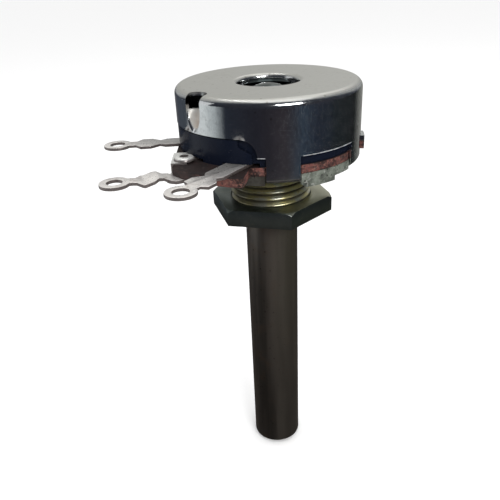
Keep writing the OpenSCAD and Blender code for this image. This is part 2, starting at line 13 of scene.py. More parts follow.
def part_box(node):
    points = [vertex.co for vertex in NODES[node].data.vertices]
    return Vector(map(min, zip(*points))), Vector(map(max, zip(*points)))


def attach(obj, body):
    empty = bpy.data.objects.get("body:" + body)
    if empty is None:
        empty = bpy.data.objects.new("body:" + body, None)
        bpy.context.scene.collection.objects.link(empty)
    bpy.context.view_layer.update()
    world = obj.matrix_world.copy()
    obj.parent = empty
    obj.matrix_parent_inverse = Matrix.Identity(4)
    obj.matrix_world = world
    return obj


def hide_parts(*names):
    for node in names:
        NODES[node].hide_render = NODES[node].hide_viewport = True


bl_info = {
    "name": "Rotary potentiometer",
    "version": (1, 0, 0),
    "blender": (4, 5, 0),
    "location": "3D View > Sidebar > Potentiometer",
    "description": "Builds the pieces, finishes and stage of a panel-mounted rotary potentiometer",
    "category": "Object",
}

MM = 0.001
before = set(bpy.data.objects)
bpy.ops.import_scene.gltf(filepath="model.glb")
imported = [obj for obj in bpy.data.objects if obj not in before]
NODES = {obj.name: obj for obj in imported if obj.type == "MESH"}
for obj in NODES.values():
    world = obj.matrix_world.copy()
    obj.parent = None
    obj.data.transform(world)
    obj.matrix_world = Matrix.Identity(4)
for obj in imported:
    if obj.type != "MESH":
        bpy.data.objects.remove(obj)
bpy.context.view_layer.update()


def low(node):
    """The lowest corner of a frame node."""
    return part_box(node)[0]


def high(node):
    """The highest corner of a frame node."""
    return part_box(node)[1]


BUSH_R = 4.7625 * MM
BUSH_MOUTH = low("threaded_bush").z
BUSH_TOP = high("threaded_bush").z
COLLAR_R = high("threaded_bush").x
SPINDLE_R = 3.175 * MM
BOARD_LOW = low("track_board").z
BOARD_TOP = high("track_board").z
SPINDLE_END = low("spindle").z
COVER_TOP = high("cover").z
COVER_R = high("cover").x
COVER_RIM = BOARD_TOP + 1.0 * MM

# The bush: where its collar starts and its thread runs out, the gap round the spindle and inside
# the nut, and the width and depth of the bevel at the mouth of its bore.
COLLAR_LOW = 0.5 * MM
THREAD_TOP = 0.9 * MM
RUNNING_GAP = 0.04 * MM
MOUTH_WIDTH = 0.3 * MM
MOUTH_DEPTH = 0.15 * MM

# The cover's tabs, as turned from the X axis, and the stop that is pressed in from its wall.
TAB_TURN = math.radians(29.5)
TAB_HALF = math.radians(10.3)
STOP_TOP = 7 * MM
STOP_Y = (-7 * MM, -6.5 * MM)

# The side towards which light and glints are painted, with painted shade on the far side; and
# where the painted shadow on the plate, the darker tail of the board and the painted shade at the
# roots of the lugs start and end.
PAINTED_LIGHT_SIDE = (0.57, 0.82)
PLATE_SHADOW_Y = (-6.5 * MM, -5 * MM)
TAIL_DARK_X = (3 * MM, 6.5 * MM)
TAIL_DARK_Y = (-10.5 * MM, -9 * MM)
LUG_ROOT_SHADE_Y = (-16 * MM, -10.5 * MM)

# What bright metal mirrors. Low down, by the direction from -X through -Y, +X and +Y: far off,
# nearer, and close by. Higher up, by how far round it is towards the bright side.
ROOM_CARDS = [
    (0.00, (0.055, 0.062, 0.078)),
    (0.07, (0.060, 0.070, 0.085)),
    (0.105, (0.72, 0.74, 0.75)),
    (0.17, (0.68, 0.71, 0.71)),
    (0.215, (0.40, 0.43, 0.44)),
    (0.250, (0.020, 0.024, 0.034)),
    (0.36, (0.018, 0.018, 0.025)),
    (0.45, (0.030, 0.026, 0.031)),
    (0.50, (0.026, 0.040, 0.060)),
    (0.56, (0.013, 0.018, 0.030)),
    (0.64, (0.009, 0.013, 0.015)),
    (0.74, (0.008, 0.010, 0.010)),
    (0.81, (0.25, 0.25, 0.23)),
    (0.86, (0.30, 0.30, 0.28)),
    (0.95, (0.14, 0.14, 0.15)),
    (1.00, (0.055, 0.062, 0.078)),
]
ROOM_NEAR = [
    (0.00, (0.030, 0.030, 0.032)),
    (0.22, (0.040, 0.038, 0.040)),
    (0.36, (0.125, 0.112, 0.105)),
    (0.46, (0.115, 0.108, 0.098)),
    (0.60, (0.070, 0.070, 0.052)),
    (0.78, (0.030, 0.032, 0.026)),
    (1.00, (0.030, 0.030, 0.032)),
]
ROOM_CLOSE = (0.030, 0.027, 0.026)
CLOSE_TO_NEAR = (15 * MM, 80 * MM)
NEAR_TO_FAR = (85 * MM, 135 * MM)
ROOM_SKY = [
    (0.00, (0.020, 0.022, 0.030)),
    (0.38, (0.035, 0.040, 0.052)),
    (0.60, (0.39, 0.395, 0.39)),
    (1.00, (0.54, 0.54, 0.515)),
]
ROOM_BRIGHT_SIDE = (-0.53, 0.37, 0.77)


# ---------------------------------------------------------------- settings


class PotBushSettings(bpy.types.PropertyGroup):
    """The thread and the edges of the bush."""

    pitch: FloatProperty(
        name="Pitch",
        description="Distance from one thread crest to the next",
        default=0.794 * MM,
        unit="LENGTH",
    )
    depth: FloatProperty(
        name="Depth",
        description="Height of a crest above its root",
        default=0.42 * MM,
        unit="LENGTH",
    )
    chamfer: FloatProperty(
        name="Chamfer",
        description="Chamfer at the mouth of the bush",
        default=0.45 * MM,
        unit="LENGTH",
    )
    steps: IntProperty(
        name="Steps",
        description="Facets in one turn of the thread",
        default=96,
    )


class PotNutSettings(bpy.types.PropertyGroup):
    """The corners of the nut."""

    bevel: FloatProperty(
        name="Bevel",
        description="Bevel on the corners of the hexagon, on the side towards the cover",
        default=0.4 * MM,
        unit="LENGTH",
    )
    edge: FloatProperty(
        name="Edge",
        description="Rounding along every sharp edge",
        default=0.09 * MM,
        unit="LENGTH",
    )


class PotLugSettings(bpy.types.PropertyGroup):
    """The edges of the stamped lugs."""

    edge: FloatProperty(
        name="Edge",
        description="Rounding along the edges of the lugs",
        default=0.07 * MM,
        unit="LENGTH",
    )


class PotStageSettings(bpy.types.PropertyGroup):
    """The camera, the floor and the light."""

    lens: FloatProperty(
        name="Lens",
        description="Focal length of the camera in millimetres",
        default=41.0,
    )
    yaw: FloatProperty(
        name="Yaw",
        description="Direction that the camera looks in, turned from +Y",
        default=math.radians(55),
        subtype="ANGLE",
    )
    pitch: FloatProperty(
        name="Pitch",
        description="How far the camera looks down",
        default=math.radians(27.2),
        subtype="ANGLE",
    )
    roll: FloatProperty(
        name="Roll",
        description="How far the camera is tipped about its own axis",
        default=math.radians(-2.7),
        subtype="ANGLE",
    )
    camera_at: FloatVectorProperty(
        name="Camera",
        description="Place of the camera",
        default=(50.99 * MM, -39.17 * MM, 20.66 * MM),
        subtype="TRANSLATION",
    )
    floor_color: FloatVectorProperty(
        name="Floor",
        description="Colour of the floor",
        default=(0.95, 0.95, 0.95),
        subtype="COLOR",
    )
    sky: FloatProperty(
        name="Sky",
        description="Strength of the pale surroundings",
        default=1.0,
    )
    light: FloatProperty(
        name="Light",
        description="Strength of the soft boxes",
        default=1.0,
    )


class PotColorSettings(bpy.types.PropertyGroup):
    """Colours of the finishes."""

    cover: FloatVectorProperty(
        name="Cover plating", description="Bright plate on the cover",
        default=(0.74, 0.76, 0.77), subtype="COLOR",
    )
    zinc: FloatVectorProperty(
        name="Front plate", description="Mottled zinc of the front plate",
        default=(0.27, 0.295, 0.25), subtype="COLOR",
    )
    brass: FloatVectorProperty(
        name="Brass", description="Brass where the plating of the bush has worn",
        default=(0.66, 0.60, 0.32), subtype="COLOR",
    )
    nut: FloatVectorProperty(
        name="Nut", description="Dull plating of the nut",
        default=(0.22, 0.26, 0.25), subtype="COLOR",
    )
    spindle: FloatVectorProperty(
        name="Spindle", description="Dull metal of the spindle",
        default=(0.255, 0.23, 0.205), subtype="COLOR",
    )
    tin: FloatVectorProperty(
        name="Tin", description="Tinning on the lugs",
        default=(0.85, 0.82, 0.79), subtype="COLOR",
    )
    bright_tin: FloatVectorProperty(
        name="Bright tin", description="Fresh tinning on the eyelets and the collector",
        default=(0.93, 0.93, 0.90), subtype="COLOR",
    )
    laminate: FloatVectorProperty(
        name="Board", description="Resin-bonded paper of the board",
        default=(0.095, 0.027, 0.021), subtype="COLOR",
    )
    moulding: FloatVectorProperty(
        name="Black moulding", description="Moulded resin of the ring",
        default=(0.005, 0.007, 0.014), subtype="COLOR",
    )


SETTING_GROUPS = {
    "pot_bush": PotBushSettings,
    "pot_nut": PotNutSettings,
    "pot_lugs": PotLugSettings,
    "pot_stage": PotStageSettings,
    "pot_colors": PotColorSettings,
}


# ---------------------------------------------------------------- finishes


class Signal:
    """A number that varies over a surface. Sums and products of signals add Math nodes."""

    def __init__(self, finish, socket):
        self.finish = finish
        self.socket = socket

    def math(self, operation, *others):
        node = self.finish.node(
            "ShaderNodeMath", {"operation": operation},
            dict(enumerate([self, *others])),
        )
        return Signal(self.finish, node.outputs[0])

    def __add__(self, other):
        return self.math("ADD", other)

    def __sub__(self, other):
        return self.math("SUBTRACT", other)

    def __mul__(self, other):
        return self.math("MULTIPLY", other)

    def __truediv__(self, other):
        return self.math("DIVIDE", other)

    def __pow__(self, other):
        return self.math("POWER", other)

    def __rsub__(self, other):
        node = self.finish.node(
            "ShaderNodeMath", {"operation": "SUBTRACT"}, {0: other, 1: self}
        )
        return Signal(self.finish, node.outputs[0])

    __radd__ = __add__

    def step(self, start, end):
        """0 up to start, 1 from end, and a smooth ramp between them."""
        node = self.finish.node(
            "ShaderNodeMapRange", {"interpolation_type": "SMOOTHSTEP"},
            {0: self, 1: start, 2: end, 3: 0.0, 4: 1.0},
        )
        return Signal(self.finish, node.outputs[0])

    def fall(self, start, end):
        """1 up to start, 0 from end, and a smooth ramp between them."""
        return 1 - self.step(start, end)

    def between(self, least, most):
        """The signal's 0 to 1 as least to most."""
        return self * (most - least) + least


class Finish:
    """A material under construction, with one shader and the nodes that feed it."""

    def __init__(self, name):
        self.material = bpy.data.materials.new(name)
        self.material.use_nodes = True
        self.tree = self.material.node_tree
        self.tree.nodes.clear()
        self.shader = self.node("ShaderNodeBsdfPrincipled")
        output = self.node("ShaderNodeOutputMaterial")
        self.tree.links.new(self.shader.outputs[0], output.inputs[0])
        self.coordinates = self.node("ShaderNodeTexCoord").outputs["Object"]

    def node(self, kind, settings=None, inputs=None):
        """A node of a kind, with its settings made first and then its sockets set or linked."""
        node = self.tree.nodes.new(kind)
        for key, value in (settings or {}).items():
            if key == "stops":
                self.set_stops(node.color_ramp, value)
            else:
                setattr(node, key, value)
        for key, value in (inputs or {}).items():
            self.feed(node.inputs[key], value)
        return node

    def feed(self, socket, value):
        """Links a signal or a socket, or sets a plain value."""
        if isinstance(value, Signal):
            value = value.socket
        if isinstance(value, bpy.types.NodeSocket):
            self.tree.links.new(value, socket)
        elif hasattr(socket.default_value, "__len__") and len(socket.default_value) == 4:
            socket.default_value = (*value[:3], 1.0)
        else:
            socket.default_value = value

    @staticmethod
    def set_stops(ramp, stops):
        """Gives a colour ramp its stops, each a place from 0 to 1 and a colour."""
        while len(ramp.elements) < len(stops):
            ramp.elements.new(0.5)
        for element, (place, color) in zip(ramp.elements, stops):
            element.position = place
            element.color = (*color, 1.0)

    def set(self, **values):
        """Sets sockets of the shader. base_color stands for Base Color, and so on."""
        for key, value in values.items():
            words = key.replace("_", " ").title().replace("Ior", "IOR")
            self.feed(self.shader.inputs[words], value)
        return self.material

    def axis(self, letter):
        """The place along one axis of the object, in metres."""
        node = self.node("ShaderNodeSeparateXYZ", None, {0: self.coordinates})
        return Signal(self, node.outputs["XYZ".index(letter)])

    def radius(self):
        """The distance from the spindle's axis, in metres."""
        x, y = self.axis("X"), self.axis("Y")
        return (x * x + y * y) ** 0.5

    def painted_light_way(self):
        """How far a point lies from the spindle's axis towards the side where light is painted, in
        metres.
        """
        return self.axis("X") * PAINTED_LIGHT_SIDE[0] + self.axis("Y") * PAINTED_LIGHT_SIDE[1]

    def upright(self):
        """1 on a face that looks up or down, 0 on a wall."""
        normal = self.node("ShaderNodeNewGeometry").outputs["Normal"]
        z = Signal(self, self.node("ShaderNodeSeparateXYZ", None, {0: normal}).outputs[2])
        return (z * z).step(0.1, 0.6)

    def around(self, radius):
        """Coordinates that wrap round the spindle's axis: arc length, height and distance."""
        x, y, z = self.axis("X"), self.axis("Y"), self.axis("Z")
        arc = y.math("ARCTAN2", x) * radius
        node = self.node("ShaderNodeCombineXYZ", None, {0: arc, 1: z, 2: self.radius()})
        return node.outputs[0]

    def noise(self, size, detail, stretch=(1, 1, 1), roughness=0.5, vector=None, offset=0.0):
        """Cloudy noise from 0 to 1 whose patches are about size metres across."""
        scaled = self.node(
            "ShaderNodeMapping", None,
            {
                "Vector": vector or self.coordinates,
                "Location": (offset, offset, offset),
                "Scale": [1 / (size * s) for s in stretch],
            },
        )
        node = self.node(
            "ShaderNodeTexNoise", None,
            {
                "Vector": scaled.outputs[0],
                "Scale": 1.0,
                "Detail": detail,
                "Roughness": roughness,
            },
        )
        return Signal(self, node.outputs[0])

    def specks(self, size):
        """Distance to the nearest of many scattered points, in units of size."""
        scaled = self.node(
            "ShaderNodeMapping", None,
            {"Vector": self.coordinates, "Scale": [1 / size] * 3},
        )
        node = self.node(
            "ShaderNodeTexVoronoi", None, {"Vector": scaled.outputs[0], "Scale": 1.0}
        )
        return Signal(self, node.outputs["Distance"])

    def blend(self, factor, first, second):
        """first where the factor is 0, second where it is 1."""
        node = self.node(
            "ShaderNodeMix", {"data_type": "RGBA"}, {0: factor, 6: first, 7: second}
        )
        return node.outputs[2]

    def bump(self, height, depth):
        """A bump whose height signal of 1 stands depth metres out."""
        node = self.node(
            "ShaderNodeBump", None, {"Strength": 1.0, "Distance": depth, "Height": height}
        )
        return node.outputs[0]


def shade(color, factor):
    """A colour made darker or lighter by a factor."""
    return tuple(min(1.0, c * factor) for c in color[:3])


def cover_finish(colors):
    """Bright plate: satin on the flat top, which is painted darker and warmer as shade, brighter
    and a little streaky on the drawn wall, with a painted highlight on the rim, painted light on
    the pressed-in stop and painted glints on one side.
    """
    f = Finish("cover_plate")
    z = f.axis("Z")
    toward_painted_light = f.painted_light_way()
    wrapped = f.around(COVER_R)
    top = z.step(COVER_TOP - 0.5 * MM, COVER_TOP - 0.1 * MM)
    cloud = f.noise(3.5 * MM, 4.0)
    fine = f.noise(0.5 * MM, 5.0, offset=3.0)
    streaks = f.noise(0.6 * MM, 3.0, (1, 14, 1), vector=wrapped)
    rings = f.noise(0.35 * MM, 2.0, (40, 1, 1), vector=wrapped, offset=5.0)
    spots = f.specks(1.1 * MM).fall(0.04, 0.16)
    tarnish = (cloud * 0.6 + fine * 0.4).step(0.48, 0.72)

    # A painted highlight along the rim: a rougher, less metallic band that shows as a bright line,
    # which stops at the tabs
    rim = z.step(COVER_RIM - 0.02 * MM, COVER_RIM)
    rim = rim * z.fall(COVER_RIM + 0.05 * MM, COVER_RIM + 0.12 * MM)
    turn = f.axis("Y").math("ARCTAN2", f.axis("X").math("ABSOLUTE")).math("ABSOLUTE")
    rim = rim * (turn - TAB_TURN).math("ABSOLUTE").step(TAB_HALF, TAB_HALF + 0.01)
    rim = rim * cloud.step(0.3, 0.6)

    # The plating of the top and the wall: the top face painted darker and warmer as shade, a
    # mottle of scuffs painted stronger towards the side where light is painted as a dark
    # reflection, and painted glints on that side
    wall = f.blend(tarnish, colors.cover, shade(colors.cover, 0.78))
    wall = f.blend(top * 0.75, wall, (0.62, 0.61, 0.565))
    # Random dark mottle of scuffs, painted stronger towards the side where light is painted, as a
    # dark reflection there
    mottle = f.noise(0.22 * MM, 3.0, (1, 2.2, 1), 0.7, wrapped, 9.0).step(0.46, 0.66)
    scuffs_and_painted_reflection = toward_painted_light.step(0, 5 * MM).between(0.12, 0.6)
    wall = f.blend(mottle * (1 - top) * scuffs_and_painted_reflection, wall, shade(colors.cover, 0.38))
    # Pale bluish flecks on the side where light is painted: painted glints
    painted_glints = f.noise(0.11 * MM, 2.0, (1, 1.3, 1), 0.5, wrapped, 12.0).step(0.50, 0.70)
    painted_glints = painted_glints * (1 - top) * toward_painted_light.step(-1 * MM, 2.5 * MM)
    wall = f.blend(painted_glints * 0.5, wall, (0.55, 0.61, 0.68))
    base = f.blend(spots * 0.5, wall, (0.30, 0.27, 0.24))

    # The pressed-in stop, painted pale and less metallic as a reflection of light, with brownish
    # patches at random
    dent = f.radius().fall(COVER_R - 0.3 * MM, COVER_R - 0.1 * MM)
    dent = dent * z.fall(STOP_TOP, STOP_TOP + 0.1 * MM) * f.axis("Y").fall(*STOP_Y)
    pale = f.blend(cloud.step(0.4, 0.65), (0.60, 0.60, 0.57), (0.40, 0.34, 0.29))
    base = f.blend(dent, base, pale)

    rough = 0.07 + top * 0.24 + fine * 0.06 + tarnish * 0.05 + dent * 0.25 + rim * 0.2
    height = streaks * (1 - top) * 0.5 + rings * top * 0.4 + fine * 0.6 + spots * 0.3
    return f.set(
        base_color=base, metallic=1 - rim * 0.45 - dent * 0.6 - painted_glints * 0.06,
        roughness=rough, normal=f.bump(height, 0.007 * MM),
    )


def zinc_finish(colors):
    """Mottled grey zinc with pale bloom and dark pits, and a painted shadow towards the lugs."""
    f = Finish("zinc_plate")
    cloud = f.noise(1.1 * MM, 5.0, roughness=0.65)
    bloom = f.noise(0.45 * MM, 4.0, offset=4.0).step(0.54, 0.70)
    pits = f.specks(0.7 * MM).fall(0.08, 0.24)
    base = f.blend(cloud.step(0.35, 0.65), shade(colors.zinc, 0.55), shade(colors.zinc, 1.35))
    base = f.blend(bloom * 0.7, base, (0.62, 0.63, 0.58))
    base = f.blend(pits * 0.8, base, (0.05, 0.05, 0.045))
    # A painted shadow on the plate towards the lugs, on the -Y side
    stain_and_painted_shadow = (f.axis("Y") + (cloud - 0.5) * (2 * MM)).fall(*PLATE_SHADOW_Y)
    base = f.blend(stain_and_painted_shadow * 0.85, base, (0.045, 0.035, 0.03))
    height = cloud * 0.8 + bloom * 0.5 - pits
    return f.set(
        base_color=base, metallic=0.7, roughness=cloud.between(0.38, 0.62),
        normal=f.bump(height, 0.035 * MM),
    )


def bush_finish(colors, depth):
    """Brass that shows through rubbed-off nickel on the crests, darker in the thread roots, with
    painted shade on the side away from the light.
    """
    f = Finish("bush_brass")
    crest = f.radius().step(BUSH_R - depth, BUSH_R - depth * 0.35)
    cloud = f.noise(1.6 * MM, 4.0, vector=f.around(BUSH_R))
    fine = f.noise(0.3 * MM, 4.0, offset=2.0)
    nickel = f.blend(cloud.step(0.40, 0.60), colors.brass, (0.58, 0.58, 0.48))
    base = f.blend(crest, (0.13, 0.12, 0.08), nickel)
    base = f.blend(fine.step(0.6, 0.78) * 0.5, base, (0.12, 0.10, 0.06))
    # Painted shade on the side away from the light
    painted_side_shade = f.painted_light_way().fall(-BUSH_R * 0.85, -BUSH_R * 0.15)
    base = f.blend(painted_side_shade * 0.8, base, (0.10, 0.095, 0.065))
    rough = 0.46 - crest * 0.22 + fine * 0.12
    return f.set(
        base_color=base, metallic=0.95, roughness=rough,
        normal=f.bump(fine + cloud * 0.5, 0.015 * MM),
    )


def nut_finish(colors):
    """Dull, dark plating with faint machining lines and rubbed patches, its flat faces painted
    light on one side and painted shade on the other.
    """
    f = Finish("nut_metal")
    cloud = f.noise(2.0 * MM, 5.0, roughness=0.6)
    fine = f.noise(0.25 * MM, 4.0, offset=6.0)
    lines = f.noise(0.16 * MM, 2.0, (30, 30, 1), offset=1.0)
    rubbed = (cloud * 0.7 + fine * 0.3).step(0.52, 0.68)
    base = f.blend(cloud, shade(colors.nut, 0.7), shade(colors.nut, 1.3))
    base = f.blend(rubbed * 0.4, base, (0.44, 0.43, 0.34))
    # Painted light on the flat faces towards one side, and painted shade on the other
    toward_painted_light = (f.painted_light_way() + (cloud - 0.5) * (4 * MM)).step(-1.5 * MM, 4 * MM)
    base = f.blend(f.upright() * toward_painted_light * 0.85, base, (0.62, 0.61, 0.47))
    base = f.blend(f.upright() * (1 - toward_painted_light) * 0.6, base, (0.07, 0.085, 0.08))
    return f.set(
        base_color=base, metallic=1.0, roughness=0.26 + fine * 0.14,
        normal=f.bump(lines * 0.5 + fine * 0.7, 0.010 * MM),
    )


def spindle_finish(colors):
    """Dull turned metal with soft streaks along it, a painted highlight down one side, and a dark,
    burnished riveted head.
    """
    f = Finish("spindle_metal")
    wrapped = f.around(SPINDLE_R)
    streaks = f.noise(1.3 * MM, 3.0, (1, 16, 1), vector=wrapped)
    cloud = f.noise(2.6 * MM, 5.0, roughness=0.6)
    turning = f.noise(0.12 * MM, 2.0, (60, 1, 1), vector=wrapped, offset=7.0)
    specks = f.specks(0.8 * MM).fall(0.05, 0.2)
    base = f.blend(streaks.step(0.3, 0.7), shade(colors.spindle, 0.7), shade(colors.spindle, 1.35))
    base = f.blend(cloud.step(0.5, 0.75) * 0.5, base, (0.30, 0.22, 0.16))
    base = f.blend(specks * 0.5, base, (0.05, 0.04, 0.035))
    # A painted highlight down the side towards the light
    toward_painted_light = f.painted_light_way().step(-SPINDLE_R * 0.4, SPINDLE_R * 0.3)
    base = f.blend(toward_painted_light * 0.6, base, (0.46, 0.42, 0.36))
    head = f.axis("Z").step(BOARD_TOP, COVER_TOP - 2 * MM)
    base = f.blend(head, base, (0.085, 0.105, 0.105))
    rough = 0.28 + streaks * 0.10 + cloud * 0.08
    return f.set(
        base_color=base, metallic=1.0, roughness=rough - head * (rough - 0.10),
        normal=f.bump(turning * 0.6 + cloud * 0.4, 0.008 * MM),
    )


def tin_finish(name, color, tarnish_and_root_shade, painted_wall_shade):
    """Tinned brass: pale, a little lumpy, with brown tarnish, and painted shade at its root and on
    its walls.
    """
    f = Finish(name)
    lumps = f.noise(0.9 * MM, 3.0)
    fine = f.noise(0.22 * MM, 4.0, offset=2.5)
    tarnish = f.noise(1.5 * MM, 5.0, roughness=0.65, offset=5.0).step(0.52, 0.72)
    streaks = f.noise(0.5 * MM, 4.0, (1, 3, 1), 0.4, offset=7.0).step(0.50, 0.68)
    base = f.blend(lumps, shade(color, 0.88), shade(color, 1.08))
    base = f.blend(tarnish * tarnish_and_root_shade, base, (0.30, 0.24, 0.22))
    # Painted shade at the root of the lugs, which also deepens the streaks there
    root = f.axis("Y").step(*LUG_ROOT_SHADE_Y) * tarnish_and_root_shade
    base = f.blend(streaks * (0.15 + root) * 0.8, base, (0.16, 0.15, 0.15))
    base = f.blend(root * 1.2, base, (0.30, 0.295, 0.29))
    # Painted shade on the walls
    base = f.blend((1 - f.upright()) * painted_wall_shade, base, (0.09, 0.065, 0.06))
    return f.set(
        base_color=base, metallic=0.62, roughness=0.22 + fine * 0.14 + tarnish * 0.15,
        normal=f.bump(lumps + fine * 0.4, 0.035 * MM),
    )


def laminate_finish(colors):
    """Resin-bonded paper: dark on its faces, with redder, speckled layers along its cut edges."""
    f = Finish("laminate")
    z = f.axis("Z")
    edge = z.step(BOARD_LOW, BOARD_LOW + 0.03 * MM) * z.fall(BOARD_TOP - 0.03 * MM, BOARD_TOP)
    layers = f.noise(0.12 * MM, 2.0, (12, 12, 1), offset=3.0)
    cloud = f.noise(1.4 * MM, 5.0, roughness=0.65)
    speck = f.noise(0.22 * MM, 4.0, roughness=0.7, offset=8.0)
    dust = f.noise(0.5 * MM, 5.0, roughness=0.7, offset=11.0).step(0.56, 0.72)
    dark, red = shade(colors.laminate, 0.22), shade(colors.laminate, 1.25)
    cut = f.blend(cloud.step(0.42, 0.58), dark, red)
    cut = f.blend(speck.step(0.50, 0.62) * 0.6, cut, (0.24, 0.10, 0.07))
    pits = f.specks(0.35 * MM).fall(0.15, 0.42)
    cut = f.blend(pits * 0.8, cut, (0.016, 0.010, 0.010))
    deep, brown = shade(colors.laminate, 0.06), shade(colors.laminate, 0.18)
    face = f.blend(cloud.step(0.3, 0.7), deep, brown)
    # The cut edge of the tail is made darker
    tail_darkening = f.axis("X").fall(*TAIL_DARK_X) * f.axis("Y").fall(*TAIL_DARK_Y)
    cut = f.blend(tail_darkening * 0.85, cut, (0.022, 0.017, 0.016))
    base = f.blend(edge, face, cut)
    base = f.blend(layers.step(0.5, 0.7) * 0.5, base, (0.012, 0.006, 0.006))
    base = f.blend(dust * 0.25, base, (0.16, 0.13, 0.12))
    return f.set(
        base_color=base, metallic=0.0, roughness=cloud.between(0.55, 0.85),
        normal=f.bump(layers * 0.5 + speck * 0.7 + cloud * 0.4, 0.05 * MM),
    )


def moulding_finish(name, color, rough, shine):
    """Moulded resin with a faint ripple and dust."""
    f = Finish(name)
    ripple = f.noise(2.0 * MM, 3.0)
    dust = f.noise(0.35 * MM, 5.0, roughness=0.7, offset=5.0).step(0.60, 0.78)
    base = f.blend(dust * 0.35, color, (0.07, 0.07, 0.08))
    return f.set(
        base_color=base, metallic=0.0, roughness=rough + dust * 0.25 + ripple * 0.08,
        specular_ior_level=shine, normal=f.bump(ripple + dust * 0.2, 0.02 * MM),
    )


def film_finish(name, light, dark, metallic):
    """A printed film: fine grain over slow changes of tone."""
    f = Finish(name)
    grain = f.noise(0.12 * MM, 4.0, roughness=0.7)
    cloud = f.noise(1.2 * MM, 3.0, offset=2.0)
    base = f.blend((grain * 0.6 + cloud * 0.4).step(0.35, 0.65), dark, light)
    return f.set(
        base_color=base, metallic=metallic, roughness=grain.between(0.4, 0.6),
        normal=f.bump(grain, 0.008 * MM),
    )


def sprung_finish(name, color):
    """Rolled spring metal with fine lines and a few stains."""
    f = Finish(name)
    lines = f.noise(0.1 * MM, 3.0, (20, 1, 20))
    stain_and_painted_shadow = f.noise(1.0 * MM, 5.0, roughness=0.65, offset=3.0).step(0.5, 0.7)
    base = f.blend(lines, shade(color, 0.8), shade(color, 1.15))
    base = f.blend(stain_and_painted_shadow * 0.45, base, shade(color, 0.45))
    return f.set(
        base_color=base, metallic=1.0, roughness=0.26 + lines * 0.12 + stain_and_painted_shadow * 0.12,
        normal=f.bump(lines, 0.006 * MM),
    )


# ---------------------------------------------------------------- modelling helpers


def deselect():
    """Leaves edit mode and deselects every object."""
    if bpy.context.mode != "OBJECT":
        bpy.ops.object.mode_set(mode="OBJECT")
    bpy.ops.object.select_all(action="DESELECT")


def activate(piece):
    """Makes a piece the only selected object and the active one."""
    deselect()
    piece.select_set(True)
    bpy.context.view_layer.objects.active = piece


def added(name):
    """Names the primitive that was just added, and returns it."""
    piece = bpy.context.active_object
    piece.name = name
    piece.data.name = name
    return piece


def set_down(piece):
    """Puts a piece's place, turn and scale into its mesh."""
    activate(piece)
    bpy.ops.object.transform_apply(location=True, rotation=True, scale=True)


def use_modifier(piece, kind, **settings):
    """Adds a modifier and applies it."""
    activate(piece)
    modifier = piece.modifiers.new(kind.title(), kind)
    for key, value in settings.items():
        setattr(modifier, key, value)
    bpy.ops.object.modifier_apply(modifier=modifier.name)


def combine(piece, other, operation):
    """Adds, cuts or keeps what is common with another solid, and deletes that solid."""
    use_modifier(piece, "BOOLEAN", object=other, operation=operation, solver="EXACT")
    bpy.data.objects.remove(other)


def cylinder(name, radius, bottom, top, sides=96):
    """An upright cylinder on the spindle's axis between two heights."""
    deselect()
    bpy.ops.mesh.primitive_cylinder_add(
        vertices=sides, radius=radius, depth=top - bottom, location=(0, 0, (top + bottom) / 2)
    )
    piece = added(name)
    set_down(piece)
    return piece


def bevel_rim(piece, height, width):
    """Bevels the rim of a cylinder at a height."""
    activate(piece)
    mesh = piece.data
    for polygon in mesh.polygons:
        polygon.select = False
    for vertex in mesh.vertices:
        vertex.select = abs(vertex.co.z - height) < 0.001 * MM
    for edge in mesh.edges:
        edge.select = all(mesh.vertices[v].select for v in edge.vertices)
    bpy.ops.object.mode_set(mode="EDIT")
    bpy.ops.mesh.select_mode(type="EDGE")
    bpy.ops.mesh.bevel(offset=width, segments=1, affect="EDGES")
    bpy.ops.object.mode_set(mode="OBJECT")


def round_edges(piece, width, angle):
    """Rounds every edge that is sharper than an angle in degrees, and shades the rest smooth."""
    use_modifier(
        piece, "BEVEL", width=width, segments=2, limit_method="ANGLE",
        angle_limit=math.radians(angle),
    )
    smooth(piece, angle)


def smooth(piece, angle):
    """Shades smooth, except across edges that are sharper than an angle in degrees."""
    activate(piece)
    bpy.ops.object.shade_smooth_by_angle(angle=math.radians(angle))


def rounded_copy(name, width):
    """A copy of a frame node's solid with its sharp edges rounded."""
    copy = bpy.data.objects.new(name + "_rounded", NODES[name].data.copy())
    bpy.context.scene.collection.objects.link(copy)
    activate(copy)
    bpy.ops.object.mode_set(mode="EDIT")
    bpy.ops.mesh.select_all(action="SELECT")
    bpy.ops.mesh.remove_doubles(threshold=0.0005 * MM)
    bpy.ops.mesh.dissolve_limited(angle_limit=math.radians(0.5))
    bpy.ops.mesh.normals_make_consistent(inside=False)
    bpy.ops.object.mode_set(mode="OBJECT")
    round_edges(copy, width, 30)
    return copy


def finish_piece(piece, material, slot, body, *nodes):
    """Gives a new piece its finish and its place in the frame, and hides the nodes that it stands
    for.
    """
    piece.data.materials.clear()
    piece.data.materials.append(material)
    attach(piece, body)
    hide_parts(*nodes)


def finish_node(name, material):
    """Gives a frame node its finish."""
    node = NODES[name]
    if not node.material_slots:
        node.data.materials.append(material)
    for slot in node.material_slots:
        slot.material = material


# ---------------------------------------------------------------- operators


class POT_OT_cover(bpy.types.Operator):
    """Finishes the drawn cover"""

    bl_idname = "pot.cover"
    bl_label = "Cover"

    def execute(self, context):
        finish_node("cover", cover_finish(context.scene.pot_colors))
        return {"FINISHED"}


class POT_OT_front_plate(bpy.types.Operator):
    """Finishes the front plate"""

    bl_idname = "pot.front_plate"
    bl_label = "Front plate"

    def execute(self, context):
        finish_node("front_plate", zinc_finish(context.scene.pot_colors))
        return {"FINISHED"}


